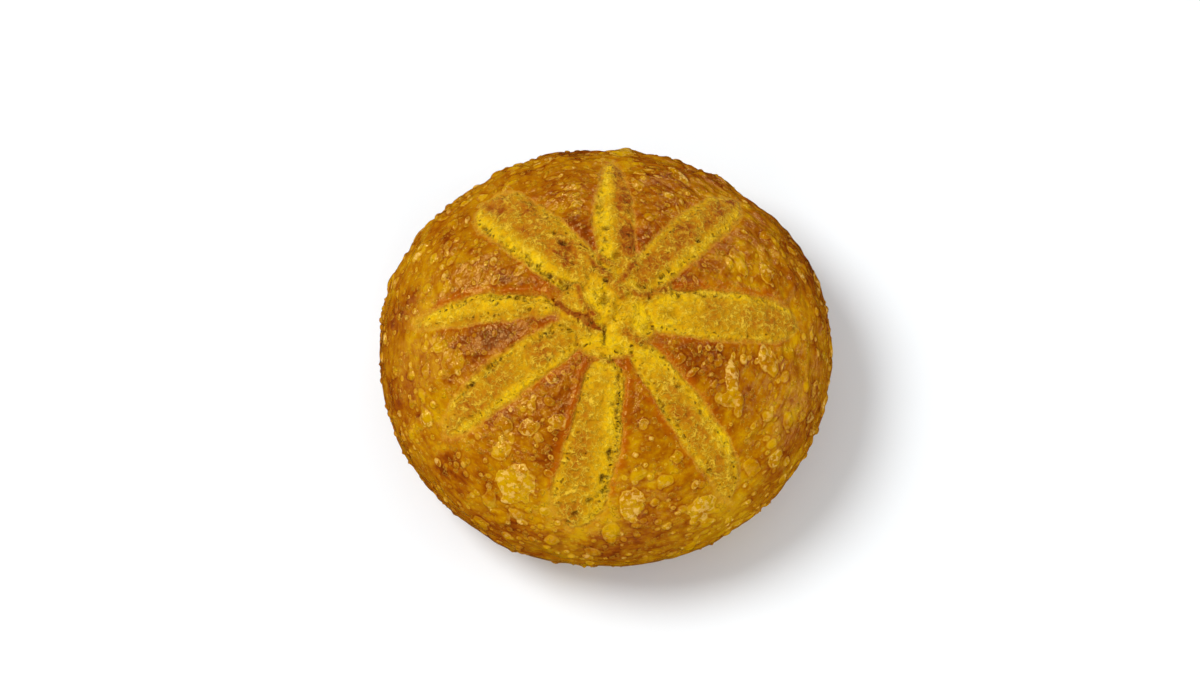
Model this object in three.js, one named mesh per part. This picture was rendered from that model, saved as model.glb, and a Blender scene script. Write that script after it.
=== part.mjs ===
// A round sourdough loaf, baked in one piece: a domed boule whose eight scores opened like petals.
// Millimetres, +Z up. It stands on z = 0, its wider way lies along X and the origin is under its middle.
import * as THREE from "three";

const { degToRad, lerp, smoothstep } = THREE.MathUtils;

// Body
const WIDTH = 210; // along X
const DEPTH = 198; // along Y
const CROWN_HEIGHT = 98;
const BELLY_HEIGHT = 41; // of the widest line
const FLAT_SHARE = 0.62; // the flat underside, as a share of the widest line
const DOME_POWER = 2.2; // 2 is a true ellipse, and more gives fuller shoulders
const SKIRT_POWER = 2;
const SWELLS = [
  { lobes: 3, height: 0.005, bearing: 150 },
  { lobes: 5, height: 0.004, bearing: 20 },
]; // slow unevenness of the outline, as a share of its radius

// Scores: start and end on the plan, half widths to the left and right of a walk outwards, each near the
// start, half way and near the end, and the share of the length over which the outer end narrows. They are
// listed clockwise from +Y.
const SCORES = [
  { start: [6, 20], end: [3, 84], left: [8, 10, 6], right: [8, 8, 5], taper: 0.5 },
  { start: [13, 15], end: [61, 67], left: [8, 10, 9], right: [8, 10, 9], taper: 0.3 },
  { start: [16, 6], end: [88, 5], left: [9, 11, 10], right: [11, 13, 10], taper: 0.25 },
  { start: [12, -12], end: [57, -75], left: [8, 12, 14], right: [4, 6, 5], taper: 0.35 },
  { start: [1, -18], end: [-15, -89], left: [9, 15, 13], right: [8, 9, 12], taper: 0.2 },
  { start: [-12, -7], end: [-72, -48], left: [6, 7, 7], right: [10, 13, 11], taper: 0.4 },
  { start: [-22, 6], end: [-86, 3], left: [3, 4, 3], right: [6, 10, 6], taper: 0.4 },
  { start: [-9, 17], end: [-58, 63], left: [9, 11, 11], right: [13, 16, 14], taper: 0.2 },
];
const START_TAPER = 0.12;
const SCORE_DEPTH = 2.6; // of the groove along each edge of a score
const GROOVE_WIDTH = 3;
const CRUMB_RISE = 0.7; // how far the middle of a score swells back up, as a share of its depth
const LIP_HEIGHT = 1.4;
const LIP_WIDTH = 2;

// Middle of the star, where the crumb tore open, and the baked flap that lies over it
const STAR = { at: [2, 4], radius: 22, rise: 1.5 };
const FLAP = { at: [-8, 10], radius: 14, rise: 1.5 };

// Blisters of the crust that are large enough to shape: place on the plan, radius and rise
const BLISTERS = [
  { at: [-39, -71], radius: 8, rise: 1.4 },
  { at: [12, -80], radius: 6, rise: 1.2 },
  { at: [44, -80], radius: 6, rise: 1.2 },
  { at: [-68, -16], radius: 5, rise: 1 },
  { at: [57, -26], radius: 6, rise: 1.2 },
  { at: [75, -17], radius: 5, rise: 1.2 },
  { at: [61, 30], radius: 5, rise: 1.2 },
  { at: [8, 92], radius: 6, rise: 1.2 },
];

// Mesh spacing: fine where the scores are, coarse below them
const CROWN_SPACING = { down: 3.9, around: 2.9 };
const SKIRT_SPACING = { down: 6, around: 6 };
const CROWN_SHARE = 0.88; // how far out the scores reach, as a share of the outline
const SMALL_STEP = 1e-4;

const CRUST = new THREE.MeshStandardMaterial({ color: 0xb4750f, roughness: 0.6, metalness: 0 });

// The meridian. along is 0 at the crown, 1 at the widest line and 2 at the edge of the flat underside.
function meridian(along) {
  const onDome = along <= 1;
  const power = 2 / (onDome ? DOME_POWER : SKIRT_POWER);
  const inner = onDome ? 0 : FLAT_SHARE;
  const rise = onDome ? CROWN_HEIGHT - BELLY_HEIGHT : -BELLY_HEIGHT;
  const angle = (along * Math.PI) / 2;
  return {
    reach: inner + (1 - inner) * Math.abs(Math.sin(angle)) ** power,
    height: BELLY_HEIGHT + rise * Math.abs(Math.cos(angle)) ** power,
  };
}

// The outline's radius at a bearing in radians, counted from +X.
function outlineRadius(bearing) {
  const ellipse = 1 / Math.hypot(Math.cos(bearing) / (WIDTH / 2), Math.sin(bearing) / (DEPTH / 2));
  const swell = SWELLS.map((s) => s.height * Math.cos(s.lobes * (bearing - degToRad(s.bearing))));
  return ellipse * (1 + swell.reduce((sum, each) => sum + each));
}

function bodyPoint(along, bearing) {
  const { reach, height } = meridian(along);
  const radius = reach * outlineRadius(bearing);
  return new THREE.Vector3(radius * Math.cos(bearing), radius * Math.sin(bearing), height);
}

function bodyNormal(along, bearing) {
  const here = bodyPoint(along, bearing);
  const down = bodyPoint(along + SMALL_STEP, bearing).sub(here);
  const around = bodyPoint(along, bearing + SMALL_STEP).sub(here);
  return down.cross(around).normalize();
}

// A rounded end: 0 at the very end of a score, 1 from taper onwards.
function roundedEnd(share, taper) {
  const missing = 1 - Math.min(share / taper, 1);
  return Math.sqrt(1 - missing ** 2);
}

// How far a score reaches to one side, at a share of its length.
function halfWidth([first, middle, last], taper, share) {
  const width = share < 0.5 ? lerp(first, middle, 2 * share) : lerp(middle, last, 2 * share - 1);
  return width * roundedEnd(share, START_TAPER) * roundedEnd(1 - share, taper);
}

// Height of one score's groove, crumb and lips over the smooth crust at a place on the plan.
function scoreRelief(score, place) {
  const start = new THREE.Vector2(...score.start);
  const line = new THREE.Vector2(...score.end).sub(start);
  const from = place.clone().sub(start);
  const share = from.dot(line) / line.lengthSq();
  if (share <= 0 || share >= 1) return 0;
  const leftward = line.cross(from) / line.length();
  const aside = Math.abs(leftward);
  const half = halfWidth(leftward > 0 ? score.left : score.right, score.taper, share);
  const groove = smoothstep(half - aside, 0, GROOVE_WIDTH);
  const swollen = CRUMB_RISE * (1 - Math.min(aside / half, 1) ** 2);
  const lip = Math.exp(-(((aside - half - LIP_WIDTH / 2) / LIP_WIDTH) ** 2));
  const ends = smoothstep(share, 0, START_TAPER) * smoothstep(1 - share, 0, START_TAPER);
  return LIP_HEIGHT * lip * ends - SCORE_DEPTH * groove * (1 - swollen);
}

// Height of a round low bump at a place on the plan.
function bumpRelief(bump, place) {
  const near = 1 - Math.min(place.distanceTo(new THREE.Vector2(...bump.at)) / bump.radius, 1) ** 2;
  return bump.rise * near ** 2;
}

function crustRelief(place) {
  const scores = SCORES.map((score) => scoreRelief(score, place));
  const grooves = Math.min(...scores, 0);
  const lips = grooves < 0 ? 0 : Math.max(...scores);
  const bumps = [STAR, FLAP, ...BLISTERS].map((bump) => bumpRelief(bump, place));
  return grooves + lips + bumps.reduce((sum, each) => sum + each);
}

// A point of the finished surface: the relief lies on the dome and fades out before the widest line.
function crustPoint(along, bearing) {
  const point = bodyPoint(along, bearing);
  const fade = 1 - smoothstep(meridian(along).reach, 0.95, 1);
  if (along > 1 || fade === 0) return point;
  const relief = crustRelief(new THREE.Vector2(point.x, point.y));
  return point.addScaledVector(bodyNormal(along, bearing), fade * relief);
}

// Where the rings of vertices lie, from the first one round the crown to the edge of the underside.
function ringPlaces() {
  const rings = [];
  const radius = (WIDTH + DEPTH) / 4;
  let along = SMALL_STEP;
  while (along < 2) {
    const here = meridian(along);
    const next = meridian(along + SMALL_STEP);
    const onCrown = along < 1 && here.reach < CROWN_SHARE;
    const spacing = onCrown ? CROWN_SPACING : SKIRT_SPACING;
    const speed = Math.hypot(radius * (next.reach - here.reach), next.height - here.height) / SMALL_STEP;
    along += spacing.down / speed;
    const place = Math.min(along, 2);
    const around = (2 * Math.PI * radius * meridian(place).reach) / spacing.around;
    rings.push({ along: place, count: Math.max(6, Math.round(around)) });
  }
  return rings;
}

// Triangles between two neighbouring rings, which may hold different numbers of vertices.
function stitchRings(upper, lower, faces) {
  let i = 0;
  let j = 0;
  while (i < upper.count || j < lower.count) {
    const a = upper.first + (i % upper.count);
    const b = lower.first + (j % lower.count);
    const upperIsNext = j === lower.count || (i + 1) / upper.count <= (j + 1) / lower.count;
    if (i < upper.count && upperIsNext) {
      i += 1;
      faces.push(a, b, upper.first + (i % upper.count));
    } else {
      j += 1;
      faces.push(a, b, lower.first + (j % lower.count));
    }
  }
}

function loafGeometry() {
  const points = [new THREE.Vector3(0, 0, CROWN_HEIGHT + crustRelief(new THREE.Vector2()))];
  const faces = [];
  const rings = ringPlaces();
  for (const ring of rings) {
    ring.first = points.length;
    for (let k = 0; k < ring.count; k += 1) {
      points.push(crustPoint(ring.along, (2 * Math.PI * k) / ring.count));
    }
  }
  const crownRing = rings[0];
  const footRing = rings[rings.length - 1];
  const underside = points.push(new THREE.Vector3(0, 0, 0)) - 1;
  for (let k = 0; k < crownRing.count; k += 1) {
    faces.push(0, crownRing.first + k, crownRing.first + ((k + 1) % crownRing.count));
  }
  for (let r = 1; r < rings.length; r += 1) stitchRings(rings[r - 1], rings[r], faces);
  for (let k = 0; k < footRing.count; k += 1) {
    faces.push(underside, footRing.first + ((k + 1) % footRing.count), footRing.first + k);
  }
  const geometry = new THREE.BufferGeometry().setFromPoints(points);
  geometry.setIndex(faces);
  geometry.computeVertexNormals();
  return geometry;
}

// The swells and lips move the outline's middle a little, so the geometry is set back over the origin.
function centredOnTable(geometry) {
  geometry.computeBoundingBox();
  const middle = geometry.boundingBox.getCenter(new THREE.Vector3());
  return geometry.translate(-middle.x, -middle.y, 0);
}

const loaf = new THREE.Mesh(centredOnTable(loafGeometry()), CRUST);
loaf.name = "loaf";

const group = new THREE.Group();
group.add(loaf);

export default group;
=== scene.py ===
"""A round sourdough loaf: a blistered golden crust over a domed boule, with eight scores opened like petals.

The loaf is one mesh made by formula in the CAD frame, +Z up and +X along its wider way. Lengths are in
millimetres until the mesh is made. Its one material reads the fields that are worked out with the shape.
"""

import math
from typing import NamedTuple

import bpy
import numpy as np
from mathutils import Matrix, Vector, kdtree


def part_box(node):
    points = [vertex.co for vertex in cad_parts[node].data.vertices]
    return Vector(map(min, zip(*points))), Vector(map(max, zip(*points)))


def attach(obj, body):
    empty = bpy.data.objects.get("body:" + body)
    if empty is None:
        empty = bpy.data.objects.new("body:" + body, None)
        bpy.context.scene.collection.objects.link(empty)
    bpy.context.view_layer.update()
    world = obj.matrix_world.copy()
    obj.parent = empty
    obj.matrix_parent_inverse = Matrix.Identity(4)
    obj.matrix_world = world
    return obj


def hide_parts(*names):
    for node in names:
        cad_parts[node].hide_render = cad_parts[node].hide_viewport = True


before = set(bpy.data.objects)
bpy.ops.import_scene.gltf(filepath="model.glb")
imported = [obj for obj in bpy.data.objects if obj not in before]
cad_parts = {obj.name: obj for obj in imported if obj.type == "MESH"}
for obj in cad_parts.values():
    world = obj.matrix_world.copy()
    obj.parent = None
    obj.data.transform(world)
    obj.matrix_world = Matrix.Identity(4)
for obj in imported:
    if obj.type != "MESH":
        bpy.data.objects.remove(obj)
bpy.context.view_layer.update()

MM = 0.001

# ---------------------------------------------------------------- driving dimensions

low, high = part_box("loaf")
WIDTH, DEPTH, HEIGHT = (high - low) / MM
CROWN_HEIGHT = HEIGHT - 2  # of the smooth body, under the crumb that stands proud at the crown
BELLY_HEIGHT = 0.41 * HEIGHT  # of the widest line
FLAT_SHARE = 0.62  # the flat underside, as a share of the widest line
DOME_POWER = 2.2  # 2 is a true ellipse, and more gives fuller shoulders
SKIRT_POWER = 2.0
SWELLS = ((3, 0.005, 150), (5, 0.004, 20))  # lobes, height as a share of the radius, a crest's bearing

DOME_SPACING = 0.85  # between the mesh's vertices
SKIRT_SPACING = 1.25
FLAT_SPACING = 3.5
FEWEST_IN_RING = 6
STREAK_RADIUS = 42.0  # a smaller radius gives longer streaks in the crust
STREAKED_SIDE = (60, 150)  # the bearing where the streaks are strongest, and how far they spread, in degrees
SEED = 7
SMALL_STEP = 1e-4
FAR_OUTSIDE = -40.0  # the edge field, in mm, where no score is near


class Score(NamedTuple):
    """One opened score. Its half widths to the left and right of a walk outwards are near the start, half
    way and near the end."""

    start: tuple
    end: tuple
    left: tuple
    right: tuple
    taper: float  # share of the length over which the outer end narrows
    toast: float  # how tan the crumb's middle is
    toast_from: float  # share of the length where the tan begins
    toast_side: float  # where the tan band lies, from -1 at the right edge to 1 at the left
    step_left: float  # how high and sharp the crust's lip stands over the crumb
    step_right: float
    open_side: int  # the side whose crumb is torn open: 1 is left and -1 is right
    open_depth: float


SCORES = (  # clockwise from +Y
    Score((6, 20), (3, 84), (8, 10, 6), (8, 8, 5), 0.50, 0.66, 0.05, -0.6, 0.5, 0.5, 1, 0.7),
    Score((13, 15), (61, 67), (8, 10, 9), (8, 10, 9), 0.30, 0.68, 0.00, 0.2, 0.3, 0.3, -1, 0.3),
    Score((16, 6), (88, 5), (9, 11, 10), (11, 13, 10), 0.25, 0.5, 0.35, -0.1, 1.3, 0.4, 1, 0.4),
    Score((12, -12), (57, -75), (8, 12, 14), (4, 6, 5), 0.35, 0.5, 0.20, 0.0, 0.6, 0.7, -1, 0.5),
    Score((1, -18), (-15, -89), (9, 15, 13), (8, 9, 12), 0.20, 0.5, 0.25, -0.2, 1.0, 0.9, 1, 0.8),
    Score((-12, -7), (-72, -48), (6, 7, 7), (10, 13, 11), 0.40, 0.52, 0.05, -0.2, 0.5, 0.4, -1, 0.6),
    Score((-22, 6), (-86, 3), (3, 4, 3), (6, 10, 6), 0.40, 0.4, 0.00, 0.6, 0.3, 1.2, -1, 0.9),
    Score((-9, 17), (-58, 63), (9, 11, 11), (13, 16, 14), 0.20, 0.62, 0.00, -0.35, 0.5, 0.35, 1, 0.7),
)
START_TAPER = 0.12
CRUMB_SPREAD = 0.9  # how much wider the crumb shows than the outlines given above
SCORE_ENDING = (0.75, 0.98)  # shares of the length between which lips and torn rows die out
STAR_CENTRE = np.array((2.0, 4.0))  # of the torn crumb where the scores meet
STAR_CORE = np.array((6.0, 2.0))  # the yellowest of it
STAR_RADIUS = 22.0
STAR_STEP = 0.3  # the lip's height and sharpness round the star

# ---------------------------------------------------------------- noise and small helpers


def smoothstep(value, lowest, highest):
    share = np.clip((value - lowest) / (highest - lowest), 0, 1)
    return share * share * (3 - 2 * share)


def bell(value, width):
    return np.exp(-((value / width) ** 2))


def noise(points, size, seed):
    """Gradient noise at 3D points, about -1 to 1, whose features are about size across."""
    dice = np.random.default_rng(seed)
    order = dice.permutation(256)
    slopes = dice.normal(size=(256, 3))
    slopes /= np.linalg.norm(slopes, axis=1, keepdims=True)
    cell = points / size
    corner_of = np.floor(cell).astype(int)
    part = cell - corner_of
    fade = part**3 * (part * (part * 6 - 15) + 10)  # the usual smooth step with no kink at the ends
    total = np.zeros(len(points))
    for corner in np.ndindex(2, 2, 2):
        at = (corner_of + corner) % 256
        slope = slopes[order[(at[:, 0] + order[(at[:, 1] + order[at[:, 2]]) % 256]) % 256]]
        weight = np.prod(np.where(corner, fade, 1 - fade), axis=1)
        total += weight * ((part - corner) * slope).sum(axis=1)
    spread_to_one = 1.7
    return total * spread_to_one


def ridges(points, size, seed):
    """Noise with thin crests, -1 to 1."""
    return 1 - 2.5 * np.abs(noise(points, size, seed))


# ---------------------------------------------------------------- body


def meridian(along):
    """Reach, as a share of the outline, and height. along is 0 at the crown, 1 at the widest line, 2 at
    the edge of the flat underside and 3 at its middle."""
    angle = along * math.pi / 2
    on_dome = along <= 1
    power = 2 / np.where(on_dome, DOME_POWER, SKIRT_POWER)
    inner = np.where(on_dome, 0, FLAT_SHARE)
    rise = np.where(on_dome, CROWN_HEIGHT - BELLY_HEIGHT, -BELLY_HEIGHT)
    reach = inner + (1 - inner) * np.abs(np.sin(angle)) ** power
    height = BELLY_HEIGHT + rise * np.abs(np.cos(angle)) ** power
    on_flat = along > 2
    return np.where(on_flat, FLAT_SHARE * (3 - along), reach), np.where(on_flat, 0, height)


def outline_radius(bearing):
    """The widest line's radius: an ellipse with slow swells. bearing is in radians from +X."""
    ellipse = 1 / np.hypot(np.cos(bearing) / (WIDTH / 2), np.sin(bearing) / (DEPTH / 2))
    swells = (height * np.cos(lobes * (bearing - math.radians(crest))) for lobes, height, crest in SWELLS)
    return ellipse * (1 + sum(swells))


def body_points(along, bearing):
    reach, height = meridian(along)
    radius = reach * outline_radius(bearing)
    return np.stack((radius * np.cos(bearing), radius * np.sin(bearing), height), axis=1)


def unit(vectors):
    return vectors / np.maximum(np.linalg.norm(vectors, axis=1, keepdims=True), 1e-9)


def body_axes(along, bearing):
    """Unit vectors at each point: out of the surface, around the loaf, and down its side."""
    step = SMALL_STEP
    inside = np.clip(along, 2 * step, 3 - 2 * step)
    around = unit(body_points(inside, bearing + step) - body_points(inside, bearing - step))
    down = unit(body_points(inside + step, bearing) - body_points(inside - step, bearing))
    return unit(np.cross(down, around)), around, down


def walked_down(along):
    """Distance from the crown over the dome and down the skirt, in mm."""
    ladder = np.linspace(0, 2, 400)
    reach, height = meridian(ladder)
    radius = (WIDTH + DEPTH) / 4
    walked = np.concatenate(((0,), np.cumsum(np.hypot(radius * np.diff(reach), np.diff(height)))))
    return np.interp(along, ladder, walked)


def streak_space(along, bearing):
    """Places squeezed together round the loaf: noise made in them runs in streaks along the outline."""
    east, north = STREAK_RADIUS * np.cos(bearing), STREAK_RADIUS * np.sin(bearing)
    return np.stack((east, north, walked_down(along)), axis=1)


# ---------------------------------------------------------------- scores


def half_width(widths, score, share):
    """The score's half width to one side at a share of its length, rounded off at both ends."""
    start = 1 - np.clip(share / START_TAPER, 0, 1)
    end = 1 - np.clip((1 - share) / score.taper, 0, 1)
    return np.interp(share, (0, 0.5, 1), widths) * np.sqrt(1 - start**2) * np.sqrt(1 - end**2)


def score_fields(score, plan):
    """For places on the plan: how far inside the score they are, in mm, negative outside, how far along it
    they lie, in mm and as a share of its length, and their side, -1 at its right edge and 1 at its left."""
    start = np.array(score.start, float)
    line = np.array(score.end) - start
    length = math.hypot(*line)
    forward = line / length
    leftward = np.array((-forward[1], forward[0]))
    walked = (plan - start) @ forward
    offset = (plan - start) @ leftward
    beyond = np.maximum(np.maximum(-walked, walked - length), 0)
    share = np.clip(walked / length, 0, 1)
    left_half = half_width(score.left, score, share)
    right_half = half_width(score.right, score, share)
    half = np.where(offset > 0, left_half, right_half)
    edge = np.where(beyond > 0, -np.hypot(beyond, offset), half - np.abs(offset))
    return edge, walked, share, np.clip(offset / np.maximum(half, 0.1), -1, 1)


def score_toast(score, share, side):
    """How tan one score's crumb is: a band along it, over a light tan of the whole."""
    band = 1 - smoothstep(np.abs(side - score.toast_side), 0.3, 1.0)
    begun = smoothstep(share, score.toast_from - 0.15, score.toast_from + 0.15)
    return 0.14 + score.toast * band * begun


def score_step(score, share, side):
    """How high and sharp one score's lip stands. It sinks outwards and is nearly gone at the end."""
    sinking = 1 - 0.5 * smoothstep(share, 0.25, 0.6)
    ending = 1 - 0.8 * smoothstep(share, *SCORE_ENDING)
    return np.where(side > 0, score.step_left, score.step_right) * (sinking * ending)


def crumb_fields(plan, wobble):
    """Fields of the star and all scores together, each from the one that a place lies deepest in. open_end is
    high round the scores' outer ends, and crease where two of them meet."""
    edge = STAR_RADIUS - np.linalg.norm(plan - STAR_CENTRE, axis=1)
    second = np.full(len(plan), FAR_OUTSIDE)
    toast = 0.45 * smoothstep(np.linalg.norm(plan - STAR_CORE, axis=1), 8, 22) - 0.15
    step = np.full(len(plan), STAR_STEP)
    torn = np.zeros(len(plan))
    open_end = np.zeros(len(plan))
    walked = plan[:, 0]
    for score in SCORES:
        own, own_walked, share, side = score_fields(score, plan)
        own_torn = score.open_depth * (side * score.open_side > 0) * (1 - smoothstep(share, *SCORE_ENDING))
        nearest = own > edge
        second = np.where(nearest, edge, np.maximum(second, own))
        toast = np.where(nearest, score_toast(score, share, side), toast)
        step = np.where(nearest, score_step(score, share, side), step)
        torn = np.where(nearest, own_torn, torn)
        open_end = np.maximum(open_end, smoothstep(share, 0.7, 1.0) * bell(np.minimum(own, 0), 9))
        walked = np.where(nearest, own_walked, walked)
        edge = np.maximum(edge, own)
    return {
        "edge": edge + CRUMB_SPREAD + wobble,
        "toast": toast,
        "step": step,
        "torn": torn,
        "open_end": open_end,
        "walked": walked,
        "crease": bell(edge - second, 1.4) * (second > 0),
    }


class Fold(NamedTuple):
    """A ridge of torn dough in the star: its course on the plan, half width, rise and how tan it is."""

    course: tuple
    half_width: float
    rise: float
    toast: float


FOLDS = (
    Fold(((-8, -18), (2, -20), (12, -17)), 1.2, 1.8, 0.9),
    Fold(((-11, 33), (-5, 25), (1, 19), (8, 10)), 3.0, 2.8, 0.85),
    Fold(((13, 27), (9, 20), (6, 16)), 3.0, 2.4, 0.95),
    Fold(((27, 15), (17, 10), (7, 13)), 3.0, 2.2, 0.8),
    Fold(((24, -10), (15, -11), (9, -6)), 3.2, 2.0, 0.85),
    Fold(((-25, 4), (-16, -3), (-7, -9)), 2.0, 1.4, 0.5),
    Fold(((3, 15), (4, 8), (2, -1)), 1.2, 1.6, 0.2),
    Fold(((11, 4), (10, -4), (6, -11)), 1.2, 1.4, 0.1),
    Fold(((-23, 20), (-14, 15), (-8, 17)), 1.4, 1.4, 0.7),
    Fold(((-12, 14), (-10, 6), (-5, 0)), 2.0, 1.6, 0.8),
    Fold(((-3, 30), (4, 25), (12, 24)), 1.8, 1.4, 0.8),
    Fold(((-26, 30), (-16, 25), (-6, 22)), 1.8, 1.4, 0.7),
)


def fold_fields(plan):
    """Rise and tan of the star's folds."""
    rise = np.zeros(len(plan))
    toast = np.zeros(len(plan))
    for fold in FOLDS:
        distance = np.full(len(plan), np.inf)
        for start, end in zip(fold.course, fold.course[1:]):
            line = np.subtract(end, start)
            share = np.clip((plan - start) @ line / (line @ line), 0, 1)
            distance = np.minimum(distance, np.linalg.norm(plan - start - share[:, None] * line, axis=1))
        near = bell(distance, fold.half_width)
        rise = np.maximum(rise, fold.rise * near)
        toast = np.maximum(toast, fold.toast * near)
    return rise, toast


# ---------------------------------------------------------------- mesh grid


def ring_places():
    """How far along the meridian each ring of vertices lies, and how many vertices it holds."""
    radius = (WIDTH + DEPTH) / 4
    rings = []
    along = SMALL_STEP
    while along < 3:
        spacing = DOME_SPACING if along < 1 else SKIRT_SPACING if along < 2 else FLAT_SPACING
        reach, height = meridian(np.array((along, along + SMALL_STEP)))
        speed = math.hypot(radius * (reach[1] - reach[0]), height[1] - height[0]) / SMALL_STEP
        crosses_flat_edge = along < 2 <= along + spacing / speed
        along = 2.0 if crosses_flat_edge else along + spacing / speed
        if along < 3:
            around = 2 * math.pi * radius * float(meridian(np.array((along,)))[0][0]) / spacing
            rings.append((along, max(FEWEST_IN_RING, round(around))))
    return rings


def fan(middle, first, count):
    """Triangles from a middle vertex to the ring round it."""
    k = np.arange(count)
    return np.stack((np.full(count, middle), first + k, first + (k + 1) % count), axis=1)


def stitch(first_upper, upper_count, first_lower, lower_count):
    """Triangles between two neighbouring rings, which may hold different numbers of vertices."""
    upper_steps = np.arange(1, upper_count + 1) / upper_count
    lower_steps = np.arange(1, lower_count + 1) / lower_count
    is_upper = np.argsort(np.concatenate((upper_steps, lower_steps)), kind="stable") < upper_count
    i = np.cumsum(is_upper) - is_upper
    j = np.cumsum(~is_upper) - ~is_upper
    upper = first_upper + i % upper_count
    lower = first_lower + j % lower_count
    next_upper = first_upper + (i + 1) % upper_count
    next_lower = first_lower + (j + 1) % lower_count
    return np.stack((upper, lower, np.where(is_upper, next_upper, next_lower)), axis=1)


def loaf_grid():
    """along and bearing of every vertex, and the triangles, from the crown to the underside's middle."""
    along, bearing, faces = [np.zeros(1)], [np.zeros(1)], []
    first, upper_count = 1, 0
    for place, count in ring_places():
        along.append(np.full(count, place))
        bearing.append(np.arange(count) * 2 * math.pi / count)
        if upper_count == 0:
            faces.append(fan(0, first, count))
        else:
            faces.append(stitch(first - upper_count, upper_count, first, count))
        first, upper_count = first + count, count
    along.append(np.full(1, 3.0))
    bearing.append(np.zeros(1))
    foot = fan(first, first - upper_count, upper_count)
    faces.append(foot[:, (0, 2, 1)])
    return np.concatenate(along), np.concatenate(bearing), np.concatenate(faces)


# ---------------------------------------------------------------- blisters and holes


class Bump(NamedTuple):
    """A blister or a hole: an oval on the plan, turned by so many degrees from +X."""

    x: float
    y: float
    half_length: float
    half_width: float
    turn: float
    rise: float  # of a blister, or the depth of a hole
    shade: float = 0.0  # painted shade inside a hole: how dark it is


BLISTERS = (
    Bump(-39, -71, 8.5, 7.0, -20, 1.1),
    Bump(12, -80, 6.0, 6.0, 0, 1.0),
    Bump(44, -80, 7.5, 4.0, 30, 1.1),
    Bump(-69, -16, 5.0, 5.5, 0, 1.0),
    Bump(-46, -57, 4.2, 3.4, 20, 0.9),
    Bump(-34, -49, 4.0, 3.6, 0, 0.9),
    Bump(-51, -76, 3.6, 3.2, 0, 1.0),
    Bump(-46, -83, 3.2, 3.0, 0, 1.0),
    Bump(3, -91, 4.0, 3.4, 0, 1.0),
    Bump(27, -70, 3.6, 2.6, 10, 0.9),
    Bump(39, -92, 3.4, 2.4, 30, 1.0),
    Bump(67, -61, 3.4, 3.6, 60, 1.0),
    Bump(77, -55, 2.4, 4.6, -30, 1.1),
    Bump(57, -25, 3.2, 8.5, 0, 1.2),
    Bump(75, -16, 3.2, 5.6, 5, 1.2),
    Bump(56, -34, 5.4, 3.6, 30, 1.0),
    Bump(83, -39, 2.4, 4.2, 0, 1.1),
    Bump(61, 31, 2.6, 8.4, 25, 1.2),
    Bump(73, 27, 2.4, 5.0, 10, 1.0),
    Bump(8, 93, 6.0, 4.0, 0, 1.0),
)
SCATTERED_BLISTERS = (  # smallest and largest radius, rise, spacing and most of that kind
    ((2.8, 4.4), 1.5, 13.0, 40),
    ((1.7, 2.6), 1.2, 6.5, 240),
    ((0.9, 1.6), 0.8, 3.4, 900),
)

HOLES = (
    Bump(5, 31, 3.4, 2.4, 70, 1.6, 0.5),
    Bump(0, 45, 2.0, 1.2, -20, 1.6, 0.8),
    Bump(-2, 54, 1.6, 1.0, 30, 1.4, 0.6),
    Bump(42, 40, 1.5, 1.1, 40, 1.8, 1.0),
    Bump(29, 3, 4.2, 3.0, 0, 1.4, 0.4),
    Bump(19, -4, 3.6, 2.0, 0, 1.3, 0.4),
    Bump(26, -41, 1.8, 1.1, -50, 1.6, 0.8),
    Bump(33, -30, 1.4, 1.0, 0, 1.4, 0.7),
    Bump(2, -60, 2.6, 1.2, 78, 2.0, 0.9),
    Bump(-1, -70, 2.6, 1.3, 75, 2.0, 0.8),
    Bump(-7, -79, 2.2, 1.4, 30, 1.8, 0.7),
    Bump(-13, -84, 2.2, 1.2, 10, 1.8, 0.7),
    Bump(-60, -28, 1.6, 1.1, 30, 1.8, 1.0),
    Bump(-55, 49, 1.6, 1.2, -40, 1.7, 0.9),
    Bump(-19, 37, 2.4, 1.4, -10, 2.0, 0.9),
    Bump(-26, 22, 2.0, 1.6, -50, 2.4, 1.0),
    Bump(-19, 16, 3.6, 2.8, 60, 2.2, 0.6),
    Bump(0, 17, 1.8, 1.0, -20, 2.4, 1.0),
    Bump(0, 8, 4.8, 2.3, 80, 2.4, 0.6),
    Bump(7, -15, 3.0, 2.2, 0, 1.6, 0.4),
    Bump(0, -7, 6.0, 1.0, 88, 2.2, 0.8),
)
SCATTERED_HOLE_SPACING = 2.2
MOST_SCATTERED_HOLES = 170


class Surface:
    """The smooth body's points and axes, and a tree that finds the points near a place."""

    def __init__(self, along, bearing):
        self.along = along
        self.bearing = bearing
        self.points = body_points(along, bearing)
        self.outward, self.around, self.down = body_axes(along, bearing)
        self.plan = self.points[:, :2]
        self.on_top = along < 1
        self.tree = kdtree.KDTree(len(self.points))
        for number, point in enumerate(self.points):
            self.tree.insert(point, number)
        self.tree.balance()

    def nearest(self, x, y):
        """The vertex of the top nearest to a place on the plan."""
        distance = np.hypot(self.plan[:, 0] - x, self.plan[:, 1] - y)
        return int(np.argmin(np.where(self.on_top, distance, np.inf)))

    def leaning_axes(self, centre, lean):
        """Two unit vectors along the surface at a vertex, the first turned by lean radians from around."""
        around, down = self.around[centre], self.down[centre]
        first = math.cos(lean) * around + math.sin(lean) * down
        return first, math.cos(lean) * down - math.sin(lean) * around

    def oval(self, centre, half_length, half_width, axes, wobble):
        """Vertices near one oval, and how far out each lies: 0 at its middle and 1 at its rim."""
        first, second = axes
        reach = 1.4 * max(half_length, half_width)
        near = np.array([found[1] for found in self.tree.find_range(self.points[centre], reach)])
        offset = self.points[near] - self.points[centre]
        share = np.hypot(offset @ first / half_length, offset @ second / half_width)
        return near, share * (1 + wobble[near])


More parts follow.
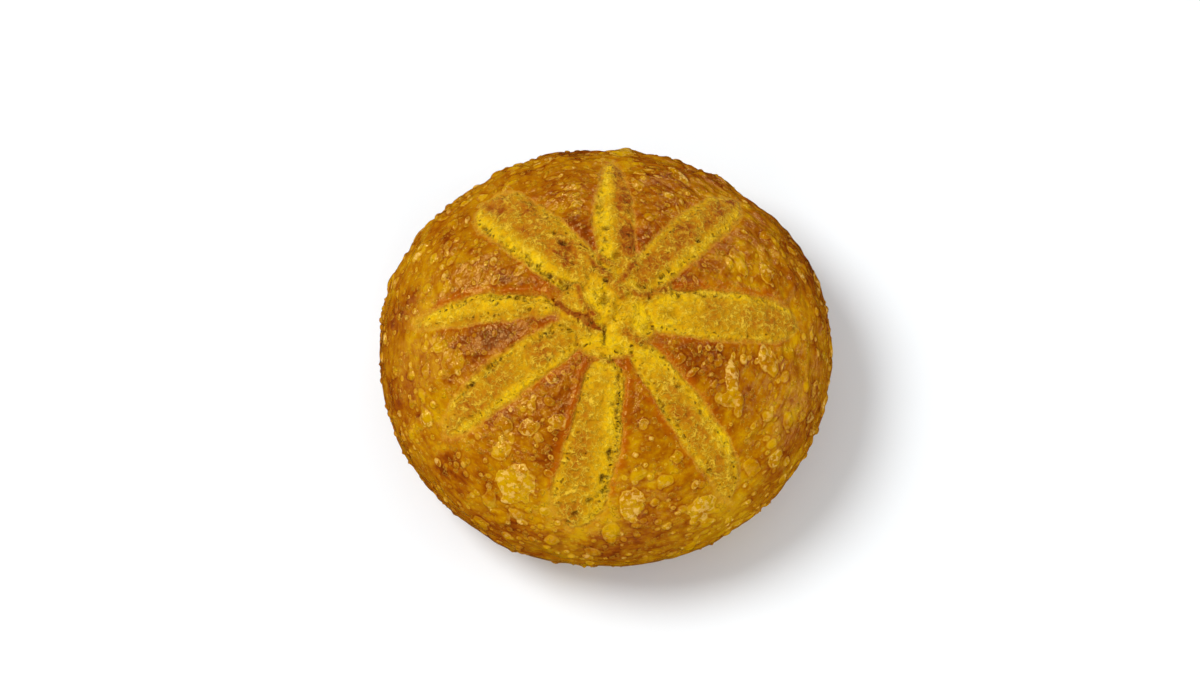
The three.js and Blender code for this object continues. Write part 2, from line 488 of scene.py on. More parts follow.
def scatter(surface, weight, spacing, count, dice):
    """Numbers of up to count vertices at least spacing apart, likelier where weight is high."""
    order = dice.permutation(len(weight))
    order = order[dice.random(len(order)) < weight[order]]
    kept = np.empty((0, 3))
    chosen = []
    for number in order:
        point = surface.points[number]
        if len(kept) and np.min(np.sum((kept - point) ** 2, axis=1)) < spacing**2:
            continue
        kept = np.vstack((kept, point))
        chosen.append(number)
        if len(chosen) == count:
            break
    return chosen


def plan_axes(turn):
    """Two unit vectors on the plan, the first turned by so many degrees from +X."""
    angle = math.radians(turn)
    first = np.array((math.cos(angle), math.sin(angle), 0))
    return first, np.array((-first[1], first[0], 0))


def blister_fields(surface, edge, streaked, dice):
    """Height of all blisters, how far inside the nearest rim each vertex is, in mm, and how pale it is."""
    height = np.zeros(len(surface.points))
    inside = np.full(len(surface.points), -2.0)
    pale = np.zeros(len(surface.points))
    wobble = 0.30 * noise(surface.points, 4.5, 31) + 0.14 * noise(surface.points, 2.0, 32)

    def raise_one(centre, half_length, half_width, axes, rise):
        near, out = surface.oval(centre, half_length, half_width, axes, wobble)
        cap = np.clip(1 - out ** dice.uniform(2.0, 3.5), 0, 1) ** dice.uniform(0.8, 1.4)
        moat = 0.2 * bell(out - 1.15, 0.15)
        height[near] = np.maximum(height[near], rise * cap) - rise * moat * (cap == 0)
        own = (1 - out) * math.sqrt(half_length * half_width)
        pale[near] = np.where(own > np.maximum(inside[near], 0), dice.random() ** 1.5, pale[near])
        inside[near] = np.maximum(inside[near], own)

    for bump in BLISTERS:
        centre = surface.nearest(bump.x, bump.y)
        raise_one(centre, bump.half_length, bump.half_width, plan_axes(bump.turn), bump.rise)

    on_crust = (edge < -2.5) & (surface.along < 1.9)
    patchy = np.where(on_crust, 0.15 + 0.7 * smoothstep(noise(surface.points, 16, 37), -0.3, 0.5), 0)
    for (smallest, largest), rise, spacing, count in SCATTERED_BLISTERS:
        for centre in scatter(surface, patchy, spacing, count, dice):
            radius = dice.uniform(smallest, largest)
            stretch = math.sqrt(1 + dice.uniform(0.1, 2.0) * streaked[centre])
            axes = surface.leaning_axes(centre, dice.normal(0, 0.35))
            raise_one(centre, radius * stretch, radius / stretch, axes, rise * dice.uniform(0.5, 1.1))
    return height, inside, pale


def hole_fields(surface, weight, dice):
    """Depth of the crumb's holes, and the painted shade of each vertex for lying in one, 0 to 1. The
    scattered holes are likelier where weight is high."""
    depth = np.zeros(len(surface.points))
    shade = np.zeros(len(surface.points))
    wobble = 0.4 * noise(surface.points, 2.2, 41)

    def sink_one(centre, half_length, half_width, axes, sunk, darkness):
        near, out = surface.oval(centre, half_length, half_width, axes, wobble)
        cap = np.clip(1 - out**2, 0, 1)
        depth[near] = np.maximum(depth[near], sunk * cap**0.7)
        shade[near] = np.maximum(shade[near], darkness * cap**0.5)

    for bump in HOLES:
        centre = surface.nearest(bump.x, bump.y)
        sink_one(centre, bump.half_length, bump.half_width, plan_axes(bump.turn), bump.rise, bump.shade)
    for centre in scatter(surface, weight, SCATTERED_HOLE_SPACING, MOST_SCATTERED_HOLES, dice):
        radius = dice.uniform(0.7, 1.3)
        axes = surface.leaning_axes(centre, dice.uniform(0, math.pi))
        sunk = dice.uniform(0.6, 1.4)
        sink_one(centre, radius * 1.3, radius * 0.8, axes, sunk, dice.uniform(0.2, 0.9))
    return depth, shade


# ---------------------------------------------------------------- relief and fields together


def side_weight(bearing, middle, spread):
    """1 on the side of the loaf that faces a bearing in degrees, fading to 0 spread degrees from it."""
    turn = np.degrees(np.angle(np.exp(1j * (bearing - math.radians(middle)))))
    return 1 - smoothstep(np.abs(turn), 0.3 * spread, spread)


FLAP_EDGE = ((-23.0, 9.0), (-1.0, -5.0))  # the torn lower edge of the flap over the star
SCORCHES = (  # place, radius and strength of the darker patches of the crust
    ((-51, -6, 92), 10, 0.30),
    ((-70, -62, 66), 13, 0.40),
    ((-43, -87, 60), 9, 0.40),
    ((4, -96, 58), 10, 0.35),
    ((-90, 12, 68), 8, 0.30),
    ((-10, 92, 62), 16, 0.25),
    ((40, 84, 64), 14, 0.20),
    ((90, 38, 60), 14, 0.25),
    ((-10, 40, 94), 9, 0.60),
    ((15, 34, 96), 8, 0.60),
    ((29, 18, 96), 9, 0.40),
    ((-30, 2, 96), 8, 0.25),
    ((-30, 22, 96), 7, 0.25),
    ((-8, -26, 97), 7, 0.25),
    ((38, -16, 95), 8, 0.20),
)


class Flap(NamedTuple):
    """Fields of the baked flap that lies over the star, torn along one edge."""

    over: np.ndarray  # how far over the torn edge a place is, in mm, positive on the flap
    on_edge: np.ndarray  # 1 beside the torn edge, 0 past its ends
    cover: np.ndarray  # 1 on the flap
    strip: np.ndarray  # 1 on the tapering strip of dark crust under the torn edge


def flap_fields(points, plan):
    start, end = np.array(FLAP_EDGE)
    length = np.linalg.norm(end - start)
    forward = (end - start) / length
    leftward = np.array((-forward[1], forward[0]))
    share = (plan - start) @ forward / length
    over = (plan - start) @ leftward + 1.3 * noise(points, 5, 29) + 0.6 * noise(points, 2, 35)
    on_edge = smoothstep(share, -0.05, 0.1) * (1 - smoothstep(share, 0.9, 1.1))
    cover = on_edge * smoothstep(over, -0.5, 0.6) * (1 - smoothstep(over, 8, 18))
    strip_width = 3.0 + 2.2 * smoothstep(share, 0.3, 0.9)
    strip = on_edge * smoothstep(over / strip_width, -1.25, -0.6) * (1 - smoothstep(over, -0.7, 0.3))
    return Flap(over, on_edge, cover, strip)


def bake_and_shade_field(surface, open_end):
    """How dark the crust is baked, 0 to 1, with painted shade that darkens the lower sides. It is palest off
    the outer ends of the scores.
    """
    points = surface.points
    bake = 0.45 + 0.21 * noise(points, 24, 51) + 0.22 * noise(points, 9, 52) + 0.08 * noise(points, 4, 53)
    out = np.linalg.norm(surface.plan - STAR_CENTRE, axis=1)
    bake -= 0.10 * side_weight(surface.bearing, -80, 100) * smoothstep(out, 60, 95)
    # Painted shade: darker down the lower sides.
    bake += 0.10 * smoothstep(surface.along, 0.75, 1.1)
    bake += 0.18 * (1 - smoothstep(out, 35, 65))
    bake -= 0.28 * open_end
    for place, radius, strength in SCORCHES:
        distance = np.linalg.norm(points - np.array(place), axis=1)
        bake += strength * bell(distance * (1 + 0.35 * noise(points, 7, 54)), radius)
    return np.clip(bake, 0, 1)


def toast_field(points, edge, scores_toast, fold_toast, flap):
    """How tan the crumb is, 0 to 1, and up to 1.3 on the dark strip under the flap, with a line of painted
    shade just under the flap's torn edge.
    """
    margin = 0.5 * (1 - smoothstep(edge, 1.0, 2.6))
    toast = np.maximum(np.maximum(scores_toast, fold_toast), margin) + 0.12 * flap.cover
    toast += 0.04 + 0.2 * noise(points, 11, 61)
    strip_toast = 1.3 - 0.6 * smoothstep(-flap.over, 1.0, 4.0)
    # The strip takes its own tan. A line of painted shade darkens the crumb just under the flap's torn edge.
    toast += flap.strip * (strip_toast - toast) + 0.5 * flap.on_edge * bell(flap.over + 0.4, 0.9)
    return np.clip(toast, 0, 1.3)


def crust_relief(surface, edge, sharp, streaked, blister_height):
    """Wrinkles, streaks and blisters of the crust, and the lip along the sharp edges of the scores."""
    points = surface.points
    streaks = streak_space(surface.along, surface.bearing)
    wrinkles = 0.30 * noise(points, 5.5, 23)
    wrinkles += streaked * (1.00 * noise(streaks, 5.5, 33) + 0.45 * noise(streaks, 2.4, 34))
    lip = 0.9 * sharp * (1 + 0.5 * noise(points, 10, 25)) * bell(edge + 1.2, 1.4)
    return wrinkles + blister_height * smoothstep(-edge, 1.5, 4) + lip


def crumb_relief(points, star, edge, sharp, torn_row, fold_rise, crease):
    """Relief of the crumb, swollen between the grooves along its sharp edges and torn rows, fibrous, and
    lumpy in the star. The second result is painted shade for the colour: how far each place lies in a hollow
    or crease of it."""
    groove = 1.5 * sharp**2 * np.exp(-np.maximum(edge, 0) / 2.5) + 1.6 * torn_row
    swollen = 1.6 * (1 - np.exp(-np.maximum(edge, 0) / 5.0))
    fibres = 0.80 * noise(points, 5.0, 26) + 0.35 * ridges(points, 3.6, 38) + 0.35 * noise(points, 2.1, 27)
    bulges = noise(points, 8, 28)
    crests = ridges(points, 6, 36)
    lumps = star * (1.0 + 1.4 * bulges + 1.1 * crests)
    relief = swollen - groove + fibres + lumps + fold_rise - 0.9 * crease
    # Painted shade for the colour: darker in the hollows of the fibres, lumps and folds, and in the creases.
    hollow = -fibres - 0.35 * star * (bulges + crests) - 0.5 * fold_rise + 1.2 * crease
    return relief, hollow


def lip_lean(surface, edge, sharp, wobble):
    """How far the lips lean over the crumb, towards the inside of their scores."""
    step = 0.5
    slope_x = crumb_fields(surface.plan + (step, 0), wobble)["edge"] - edge
    slope_y = crumb_fields(surface.plan + (0, step), wobble)["edge"] - edge
    inward = np.stack((slope_x, slope_y, np.zeros(len(edge))), axis=1)
    inward -= surface.outward * np.sum(inward * surface.outward, axis=1, keepdims=True)
    lean = 1.2 * sharp * bell(edge + 0.4, 1.3) * surface.on_top
    return unit(inward) * lean[:, None]


def shape_loaf(along, bearing):
    """Final points in mm and the fields that the material reads."""
    dice = np.random.default_rng(SEED)
    surface = Surface(along, bearing)
    points, plan = surface.points, surface.plan
    wobble = 0.9 * noise(points, 9, 11) + 0.45 * noise(points, 3.2, 12)
    scores = crumb_fields(plan, wobble)
    sharp = scores["step"]
    edge = np.where(surface.on_top, scores["edge"], FAR_OUTSIDE)
    streaked = np.clip(0.15 + 0.85 * side_weight(bearing, *STREAKED_SIDE), 0, 1)
    blister_height, blister, pale = blister_fields(surface, edge, streaked, dice)

    # The crumb is torn open in clusters, in a row along one side of each score.
    torn = scores["torn"] * smoothstep(noise(points, 13, 42), -0.5, 0.3) * surface.on_top
    torn_row = torn * bell(edge - 3.0, 1.6)
    hole_depth, hole = hole_fields(surface, np.where(edge > 1.0, 0.004 + 0.5 * torn_row, 0), dice)

    flap = flap_fields(points, plan)
    edge = edge + flap.strip * (3.0 - edge)
    crust = smoothstep(-edge, 0, 0.8)
    on_crust = crust_relief(surface, edge, sharp, streaked, blister_height)
    star = 1 - smoothstep(np.linalg.norm(plan - STAR_CENTRE, axis=1), 6, 28)
    fold_rise, fold_toast = fold_fields(plan)
    on_crumb, hollow_shade = crumb_relief(points, star, edge, sharp, torn_row, fold_rise, scores["crease"])
    on_crumb += 1.6 * flap.cover - hole_depth

    # All of it lies on uneven swells and sinks towards the scores. The underside is nearly smooth.
    swells = 0.7 * noise(points, 34, 21) + 0.8 * noise(points, 12, 22)
    valley = 2.2 * np.exp(np.minimum(edge, 0) / 8) * surface.on_top
    relief = swells * (0.4 + 0.6 * crust) - valley + crust * on_crust + (1 - crust) * on_crumb
    relief += flap.strip * (0.6 + 0.9 * ridges(points, 3.4, 39)) - 1.2 * flap.on_edge * bell(flap.over, 0.7)
    under = smoothstep(along, 1.93, 2.0)
    relief = relief * (1 - under) - 0.25 * under * (1 + noise(points, 8, 30))
    shaped = points + surface.outward * relief[:, None] + lip_lean(surface, edge, sharp, wobble)
    shaped[:, 2] = np.maximum(shaped[:, 2], 0)

    crisp = smoothstep(sharp, 0.25, 0.6)
    fields = {
        "edge": edge,
        "sharp": crisp,
        "soft": 1.3 - 0.7 * crisp + 2.0 * scores["open_end"] ** 2,
        # painted shade in the crumb's hollows and creases
        "hollow_shade": hollow_shade,
        # the bake, with painted shade on the lower sides
        "bake": np.clip(bake_and_shade_field(surface, scores["open_end"]) + 0.2 * under, 0, 1),
        "toast": toast_field(points, edge, scores["toast"], fold_toast, flap),
        "blister": blister,
        "pale": pale,
        # painted shade in the holes
        "hole": hole,
        "torn": np.clip(torn_row, 0, 1),
        "open": np.clip(0.12 + 1.1 * bell(edge - 3.2, 1.6) * (0.55 + 0.45 * torn) + 0.3 * star, 0, 1),
        "walked": scores["walked"],
    }
    return shaped, fields


# ---------------------------------------------------------------- mesh


TOP_DISC = {"middle": 0.45, "radius": 0.44}  # of the UV map
FLAT_DISC = {"middle": 0.87, "radius": 0.12}


def disc_map(along, bearing):
    """UVs for the bake: the crown and sides as one disc, the underside as a small one in the corner."""
    out = walked_down(along) / walked_down(2)
    direction = np.stack((np.cos(bearing), np.sin(bearing)), axis=1)
    top = TOP_DISC["radius"] * out[:, None] * direction + TOP_DISC["middle"]
    flat = FLAT_DISC["radius"] * (3 - along)[:, None] * direction * (-1, 1) + FLAT_DISC["middle"]
    return top, flat


def loaf_object():
    along, bearing, faces = loaf_grid()
    shaped, fields = shape_loaf(along, bearing)
    mesh = bpy.data.meshes.new("sourdough_loaf")
    mesh.vertices.add(len(shaped))
    mesh.vertices.foreach_set("co", (shaped * MM).ravel())
    mesh.loops.add(faces.size)
    mesh.loops.foreach_set("vertex_index", faces.ravel())
    mesh.polygons.add(len(faces))
    mesh.polygons.foreach_set("loop_start", np.arange(0, faces.size, 3))
    mesh.update(calc_edges=True)
    mesh.polygons.foreach_set("use_smooth", np.ones(len(faces), bool))

    top, flat = disc_map(along, bearing)
    corners = faces.ravel()
    on_flat = np.repeat(along[faces].max(axis=1) > 2, 3)
    layer = mesh.uv_layers.new(name="OFBake")
    layer.data.foreach_set("uv", np.where(on_flat[:, None], flat[corners], top[corners]).ravel())

    for name, values in fields.items():
        mesh.attributes.new(name, "FLOAT", "POINT").data.foreach_set("value", values)
    streak_place = mesh.attributes.new("streak_place", "FLOAT_VECTOR", "POINT")
    streak_place.data.foreach_set("vector", streak_space(along, bearing).ravel())
    mesh.validate()
    loaf = bpy.data.objects.new("sourdough_loaf", mesh)
    bpy.context.collection.objects.link(loaf)
    return loaf


# ---------------------------------------------------------------- material


def linear(red, green, blue):
    """A colour given in 0 to 255 display values, as Blender's linear colour."""
    shares = np.array((red, green, blue)) / 255
    toe, curve = shares / 12.92, ((shares + 0.055) / 1.055) ** 2.4
    return (*np.where(shares <= 0.04045, toe, curve).tolist(), 1)


class Nodes:
    """Short calls that add shader nodes to one material. An input may be a number, a colour or a socket."""

    def __init__(self, material):
        material.use_nodes = True
        self.tree = material.node_tree
        self.tree.nodes.clear()

    def add(self, kind, inputs=(), **settings):
        node = self.tree.nodes.new(kind)
        for name, value in settings.items():
            setattr(node, name, value)
        for key, value in dict(inputs).items():
            socket = node.inputs[key]
            if isinstance(value, bpy.types.NodeSocket):
                self.tree.links.new(value, socket)
            else:
                socket.default_value = value
        return node

    def field(self, name, output="Fac"):
        node = self.add("ShaderNodeAttribute", attribute_name=name, attribute_type="GEOMETRY")
        return node.outputs[output]

    def math(self, operation, *values):
        return self.add("ShaderNodeMath", dict(enumerate(values)), operation=operation).outputs[0]

    def vector(self, operation, *values):
        return self.add("ShaderNodeVectorMath", dict(enumerate(values)), operation=operation).outputs[0]

    def step(self, value, lowest, highest, to_low=0.0, to_high=1.0):
        """A smooth step that goes from to_low to to_high as the value goes from lowest to highest."""
        inputs = {"Value": value, "From Min": lowest, "From Max": highest}
        inputs.update({"To Min": to_low, "To Max": to_high})
        return self.add("ShaderNodeMapRange", inputs, interpolation_type="SMOOTHSTEP").outputs["Result"]

    def noise(self, place, size, detail=3.0):
        inputs = {"Vector": place, "Scale": 1 / size, "Detail": detail, "Roughness": 0.55}
        return self.add("ShaderNodeTexNoise", inputs).outputs["Fac"]

    def bend(self, place, size, reach, detail):
        """The place moved about, by up to half of reach, by noise whose features are about size across."""
        inputs = {"Vector": place, "Scale": 1 / size, "Detail": detail}
        shift = self.add("ShaderNodeTexNoise", inputs).outputs["Color"]
        return self.vector("MULTIPLY_ADD", shift, (reach, reach, reach), place)

    def cells(self, place, size, feature="F1"):
        return self.add("ShaderNodeTexVoronoi", {"Vector": place, "Scale": 1 / size}, feature=feature)

    def any_of(self, cells):
        """A number from 0 to 1 that differs from cell to cell."""
        return self.add("ShaderNodeSeparateColor", {"Color": cells.outputs["Color"]}).outputs[0]

    def around(self, value, amount):
        """The value of a noise, spread evenly about zero."""
        return self.math("MULTIPLY_ADD", value, amount, -0.5 * amount)

    def total(self, *values):
        result = values[0]
        for value in values[1:]:
            result = self.math("ADD", result, value)
        return result

    def times(self, *values):
        result = values[0]
        for value in values[1:]:
            result = self.math("MULTIPLY", result, value)
        return result

    def mix(self, share, first, second):
        node = self.tree.nodes.new("ShaderNodeMix")
        node.data_type = "RGBA"
        wanted = {"Factor_Float": share, "A_Color": first, "B_Color": second}
        for socket in node.inputs:
            value = wanted.get(socket.identifier)
            if isinstance(value, bpy.types.NodeSocket):
                self.tree.links.new(value, socket)
            elif value is not None:
                socket.default_value = value
        return next(socket for socket in node.outputs if socket.identifier == "Result_Color")

    def ramp(self, value, stops):
        node = self.add("ShaderNodeValToRGB", {"Fac": value})
        elements = node.color_ramp.elements
        while len(elements) < len(stops):
            elements.new(1.0)
        for element, (position, colour) in zip(elements, stops):
            element.position = position
            element.color = colour
        return node.outputs["Color"]


CRUST_STOPS = (  # from pale gold to the darkest bake
    (0.00, linear(194, 145, 2)),
    (0.22, linear(178, 120, 0)),
    (0.45, linear(161, 95, 0)),
    (0.65, linear(144, 72, 0)),
    (0.82, linear(124, 53, 2)),
    (1.00, linear(108, 42, 0)),
)
CRUMB_STOPS = (  # from yellow to toasted
    (0.00, linear(230, 186, 4)),
    (0.30, linear(208, 156, 4)),
    (0.60, linear(186, 130, 4)),
    (0.85, linear(172, 104, 6)),
    (1.00, linear(140, 62, 4)),
)
STRAND_COLOUR = linear(240, 202, 60)
# Painted shade in the crumb: in open cells, hollows and creases, holes and pores, and gaps between threads.
OLIVE_SHADE_COLOUR = linear(136, 92, 2)
LOW_SHADE_COLOUR = linear(158, 94, 0)
HOLE_SHADE_COLOUR = linear(64, 28, 4)
GAP_SHADE_COLOUR = linear(112, 80, 4)
# Pale flecks on the blisters, partly paler skin and partly painted sheen, and the painted highlight on their
# rims:
PALE_SKIN_AND_SHEEN_COLOUR = linear(232, 186, 96)
RIM_HIGHLIGHT_COLOUR = linear(222, 172, 48)
LIP_COLOUR = linear(222, 158, 40)
BAND_COLOUR = linear(172, 80, 0)

GRAIN = 1.2  # sizes of the features in the crust's and the crumb's textures, in mm
MOTTLE = 5.5
STREAK = 2.6
BEAD = 2.6
FLECK = 2.4
PATCH = 8.0
LUMP = 3.0
CELL = 2.4
CURL = 6.0
THREAD = 1.9
RAGGED_EDGE = 1.6
BEAD_BEND = 1.8
CELL_BEND = 4.0
CRUMB_ROUGHNESS = 0.95


def crust_look(nodes, place, edge, sharp):
    """Colour, roughness and fine relief of the crust: a smooth glaze from golden to red-brown, blisters with
    rims of painted highlight, moats of painted shade and pale flecks that are partly painted sheen, small
    beads and an orange band beside the scores."""
    grain = nodes.noise(place, GRAIN)
    mottle = nodes.noise(place, MOTTLE, 4)
    streaks = nodes.noise(nodes.field("streak_place", "Vector"), STREAK, 3)

    # Small beads between the blisters.
    beads = nodes.cells(nodes.bend(place, BEAD_BEND, 2.2, 1.0), BEAD)
    bead_size = nodes.any_of(beads)
    bead_radius = nodes.math("MULTIPLY_ADD", bead_size, 0.5, 0.02)
    bead_out = nodes.math("DIVIDE", beads.outputs["Distance"], bead_radius)
    bead = nodes.step(bead_out, 1.0, 0.5)
    bead_ring = nodes.times(nodes.step(bead_out, 1.15, 0.95), nodes.step(bead_out, 0.5, 0.8))

    # The blisters that the mesh holds: rings of painted highlight, paler insides, moats of painted shade and
    # pale flecks, partly paler skin and partly painted sheen.
    blister = nodes.total(nodes.field("blister"), nodes.around(grain, 0.5))
    ring = nodes.times(nodes.step(blister, -0.15, 0.15), nodes.step(blister, 0.75, 0.3))
    ring = nodes.times(ring, nodes.math("MULTIPLY_ADD", nodes.field("pale"), 0.5, 0.2))
    inside = nodes.step(blister, 0.1, 0.6)
    # Painted shade: a darker moat round the foot of each blister.
    moat = nodes.times(nodes.step(blister, -1.3, -0.5), nodes.step(blister, 0.0, -0.3))
    fleck = nodes.step(nodes.noise(place, FLECK, 3), 0.50, 0.60)
    pale = nodes.times(nodes.field("pale"), inside, fleck)

    # The bake, with painted shade down the lower sides and in the moats round the blisters.
    baked = nodes.total(
        nodes.field("bake"),
        nodes.around(mottle, 0.95),
        nodes.around(grain, 0.3),
        nodes.around(streaks, 0.85),
        nodes.times(inside, -0.20),
        nodes.times(moat, 0.14),
        nodes.times(bead, -0.14),
    )
    colour = nodes.ramp(baked, CRUST_STOPS)
    band = nodes.times(nodes.step(edge, -4.5, -1.2), nodes.step(mottle, 0.25, 0.6))
    band = nodes.times(band, nodes.step(sharp, -0.6, 0.8))
    colour = nodes.mix(nodes.times(band, 0.7), colour, BAND_COLOUR)
    # Painted highlight on the rims of blisters and beads, then the pale flecks, partly paler skin and partly
    # painted sheen.
    rings = nodes.math("MAXIMUM", ring, nodes.times(bead_ring, 0.3))
    colour = nodes.mix(nodes.times(rings, nodes.step(mottle, 0.25, 0.55)), colour, RIM_HIGHLIGHT_COLOUR)
    colour = nodes.mix(nodes.times(pale, 0.8), colour, PALE_SKIN_AND_SHEEN_COLOUR)
    lip = nodes.times(nodes.step(edge, -1.2, -0.6), nodes.step(grain, 0.3, 0.6))
    colour = nodes.mix(nodes.times(lip, 0.35), colour, LIP_COLOUR)

    roughness = nodes.total(nodes.math("MULTIPLY_ADD", grain, 0.16, 0.12), nodes.times(inside, -0.08))
    bumps = nodes.times(bead, bead_size, 0.6)
    height = nodes.total(nodes.around(grain, 0.15), nodes.around(streaks, 0.9), bumps)
    return colour, roughness, height


def crumb_look(nodes, place):
    """Colour and fine relief of the crumb: yellow to tan by the toast, with pale walls round its cells, and
    threads that cross the torn rows. Painted shade darkens its hollows and creases, the middles of its cells,
    open cells to olive, its holes and small pores, and the gaps between the threads."""
    toast = nodes.field("toast")
    torn = nodes.step(nodes.field("torn"), 0.12, 0.5)
    openness = nodes.field("open")
    patches = nodes.noise(place, PATCH, 2)
    lumps = nodes.noise(place, LUMP, 2)
    toasted = nodes.total(toast, nodes.around(patches, 0.6), nodes.around(lumps, -0.35))

    # Cells, bent out of shape: pale walls and curls between them, and hollows and pores in some, darkened
    # with painted shade.
    bent = nodes.bend(place, CELL_BEND, 6.0, 2.0)
    cells = nodes.cells(bent, CELL)
    cell_out = cells.outputs["Distance"]
    any_cell = nodes.any_of(cells)
    toasted = nodes.total(toasted, nodes.around(any_cell, 0.15))
    wall_out = nodes.cells(bent, CELL, "DISTANCE_TO_EDGE").outputs["Distance"]
    curl = nodes.math("ABSOLUTE", nodes.around(nodes.noise(bent, CURL, 1), 1.0))
    wall = nodes.math("MAXIMUM", nodes.step(wall_out, 0.10, 0.02), nodes.step(curl, 0.04, 0.01))
    wall = nodes.times(wall, nodes.step(lumps, 0.35, 0.6), nodes.step(toast, 1.0, 0.75, 0.3))
    cell_middle = nodes.step(wall_out, 0.15, 0.45, 0.0, 0.5)
    # Painted shade in the crumb's hollows and creases, and in the middles of its cells.
    low = nodes.math("MAXIMUM", nodes.step(nodes.field("hollow_shade"), 0.1, 1.1), cell_middle)
    hollow = nodes.times(nodes.step(cell_out, 0.5, 0.15), nodes.step(any_cell, 0.6, 0.7), openness)
    pore = nodes.times(nodes.step(cell_out, 0.34, 0.18), nodes.step(any_cell, 0.6, 0.5), openness)

    # Threads across the torn rows, with painted shade in the gaps between them.
    thread_place = {"X": nodes.field("walked"), "Y": nodes.times(nodes.field("edge"), 0.5)}
    thread = nodes.noise(nodes.add("ShaderNodeCombineXYZ", thread_place).outputs[0], THREAD, 2)
    gap = nodes.times(nodes.step(thread, 0.52, 0.40), torn, nodes.step(patches, 0.65, 0.45))
    bridge = nodes.times(nodes.step(thread, 0.56, 0.62), torn)

    colour = nodes.ramp(toasted, CRUMB_STOPS)
    # Painted shade: in hollows and creases, olive in open cells, dark in holes and pores and in the gaps
    # between threads.
    colour = nodes.mix(nodes.times(low, 0.45), colour, LOW_SHADE_COLOUR)
    colour = nodes.mix(nodes.times(hollow, 0.6), colour, OLIVE_SHADE_COLOUR)
    dark = nodes.math("MAXIMUM", pore, nodes.step(nodes.field("hole"), 0.05, 1.0, 0.0, 0.9))
    colour = nodes.mix(dark, colour, HOLE_SHADE_COLOUR)
    colour = nodes.mix(nodes.times(gap, 0.55), colour, GAP_SHADE_COLOUR)
    light = nodes.math("MAXIMUM", nodes.times(wall, 0.55), nodes.times(bridge, 0.5))
    colour = nodes.mix(light, colour, STRAND_COLOUR)

    height = nodes.total(
        nodes.around(lumps, 1.8),
        nodes.around(patches, 1.5),
        nodes.times(wall, 0.35),
        nodes.times(hollow, -0.5),
        nodes.times(pore, -0.8),
        nodes.times(gap, -0.6),
    )
    return colour, height


def loaf_material():
    material = bpy.data.materials.new("baked_crust")
    nodes = Nodes(material)
    place = nodes.vector("SCALE", nodes.add("ShaderNodeTexCoord").outputs["Object"])
    place.node.inputs["Scale"].default_value = 1 / MM
    edge = nodes.total(nodes.field("edge"), nodes.around(nodes.noise(place, RAGGED_EDGE), 2.2))
    crumb = nodes.step(nodes.math("DIVIDE", edge, nodes.field("soft")), -1.0, 1.0)
    crust = nodes.math("SUBTRACT", 1.0, crumb)
    crust_colour, crust_roughness, crust_height = crust_look(nodes, place, edge, nodes.field("sharp"))
    crumb_colour, crumb_height = crumb_look(nodes, place)
    roughness = nodes.total(nodes.times(crust_roughness, crust), nodes.times(crumb, CRUMB_ROUGHNESS))
    height = nodes.total(nodes.times(crust_height, crust), nodes.times(crumb_height, crumb))
    bump = nodes.add("ShaderNodeBump", {"Height": height, "Distance": MM, "Strength": 1.0})
    shader = nodes.add(
        "ShaderNodeBsdfPrincipled",
        {
            "Base Color": nodes.mix(crumb, crust_colour, crumb_colour),
            "Roughness": roughness,
            "Normal": bump.outputs["Normal"],
            "Specular IOR Level": 0.3,
            "Specular Tint": (1.0, 0.70, 0.22, 1),
        },
    )
    nodes.add("ShaderNodeOutputMaterial", {"Surface": shader.outputs[0]})
    return material


# ---------------------------------------------------------------- stage, light and camera


class Lamp(NamedTuple):
    """A round soft lamp, in metres and watts. One that is shine_only shows in the gloss alone."""

    name: str
    place: tuple
    size: float
    power: float
    shine_only: bool = False


LAMPS = (
    Lamp("key", (-0.98, 0.28, 1.80), 0.9, 29),
    Lamp("left_shine", (-0.9, 0.8, 1.7), 0.25, 18, shine_only=True),
    Lamp("far_shine", (0.7, 1.5, 1.1), 0.25, 9, shine_only=True),
    Lamp("right_fill", (1.7, -0.2, 0.5), 0.8, 6.5),
    Lamp("left_fill", (-1.7, 0.1, 0.5), 0.8, 2.5),
    Lamp("far_fill", (0.9, 1.5, 0.7), 0.8, 2),
    Lamp("near_fill", (0.2, -1.7, 0.6), 0.8, 6.5),
)
LOAF_MIDDLE = (0, -0.0008, 0.397 * HEIGHT * MM)  # what the lamps and the camera aim at
FLOOR_REACH = 6.0  # metres from the middle to each side


def plain_material(name, colour, roughness):
    material = bpy.data.materials.new(name)
    nodes = Nodes(material)
    shader = nodes.add("ShaderNodeBsdfPrincipled", {"Base Color": colour, "Roughness": roughness})
    nodes.add("ShaderNodeOutputMaterial", {"Surface": shader.outputs[0]})
    return material


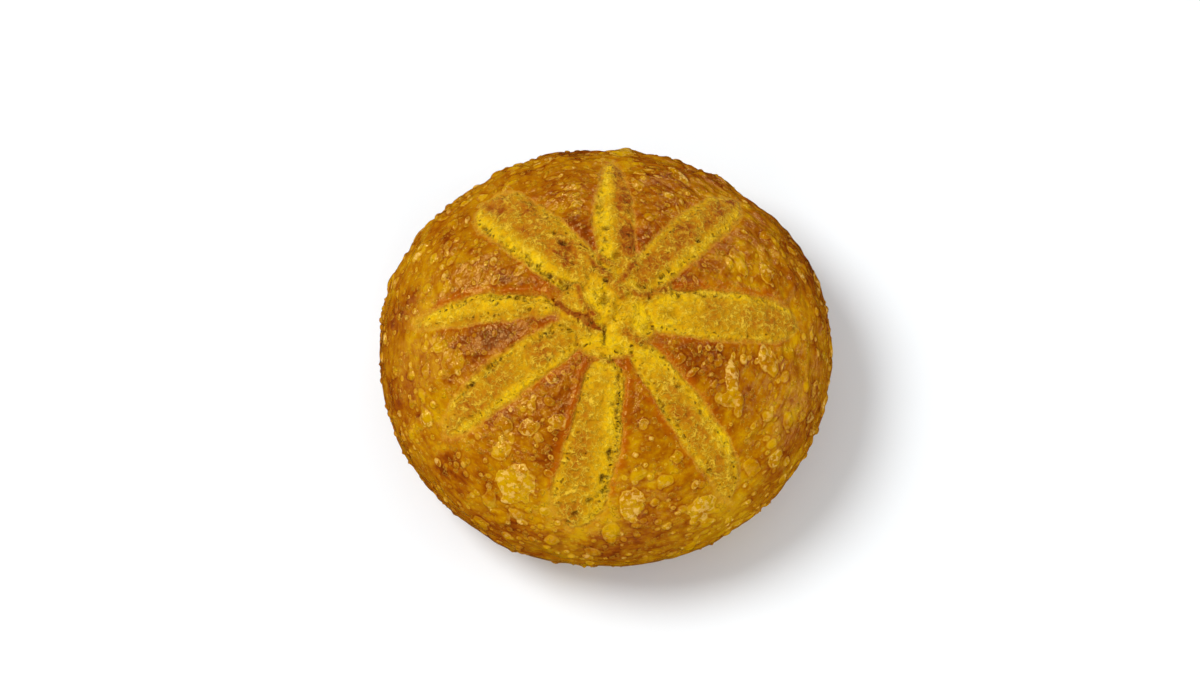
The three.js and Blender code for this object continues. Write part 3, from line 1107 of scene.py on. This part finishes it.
def aim(item, target):
    item.rotation_euler = (Vector(target) - item.location).to_track_quat("-Z", "Y").to_euler()


def add_stage():
    mesh = bpy.data.meshes.new("floor")
    corners = [(x * FLOOR_REACH, y * FLOOR_REACH, 0) for x, y in ((-1, -1), (1, -1), (1, 1), (-1, 1))]
    mesh.from_pydata(corners, [], [(0, 1, 2, 3)])
    floor = bpy.data.objects.new("floor", mesh)
    floor.data.materials.append(plain_material("pale_floor", (0.87, 0.9, 0.92, 1), 0.9))
    floor.visible_glossy = False
    bpy.context.collection.objects.link(floor)


def add_lamp(lamp):
    light = bpy.data.lights.new(lamp.name, "AREA")
    light.shape = "DISK"
    light.size = lamp.size
    light.energy = lamp.power
    item = bpy.data.objects.new(lamp.name, light)
    item.location = lamp.place
    item.visible_diffuse = not lamp.shine_only
    bpy.context.collection.objects.link(item)
    aim(item, LOAF_MIDDLE)


def add_world(strength):
    world = bpy.data.worlds.new("studio")
    world.use_nodes = True
    background = world.node_tree.nodes["Background"]
    background.inputs["Color"].default_value = (1, 1, 1, 1)
    background.inputs["Strength"].default_value = strength
    world.cycles_visibility.glossy = False
    bpy.context.scene.world = world


def add_camera(elevation, distance, lens, left, up):
    """A camera over the loaf's near side, so many degrees up, which aims so far to the left of the loaf's
    middle and above it in the picture. Distances are in metres."""
    data = bpy.data.cameras.new("camera")
    data.lens = lens
    data.clip_start = 0.05
    camera = bpy.data.objects.new("camera", data)
    angle = math.radians(elevation)
    middle = Vector(LOAF_MIDDLE)
    camera.location = middle + distance * Vector((0, -math.cos(angle), math.sin(angle)))
    bpy.context.collection.objects.link(camera)
    aim(camera, middle + Vector((-left, up * math.sin(angle), up * math.cos(angle))))
    bpy.context.scene.camera = camera


loaf = loaf_object()
loaf.data.materials.append(loaf_material())
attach(loaf, "root")
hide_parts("loaf")

add_stage()
for lamp in LAMPS:
    add_lamp(lamp)
add_world(strength=0.52)
add_camera(elevation=73, distance=1.316, lens=85, left=0.0023, up=0.0095)
bpy.context.scene.view_settings.view_transform = "Standard"
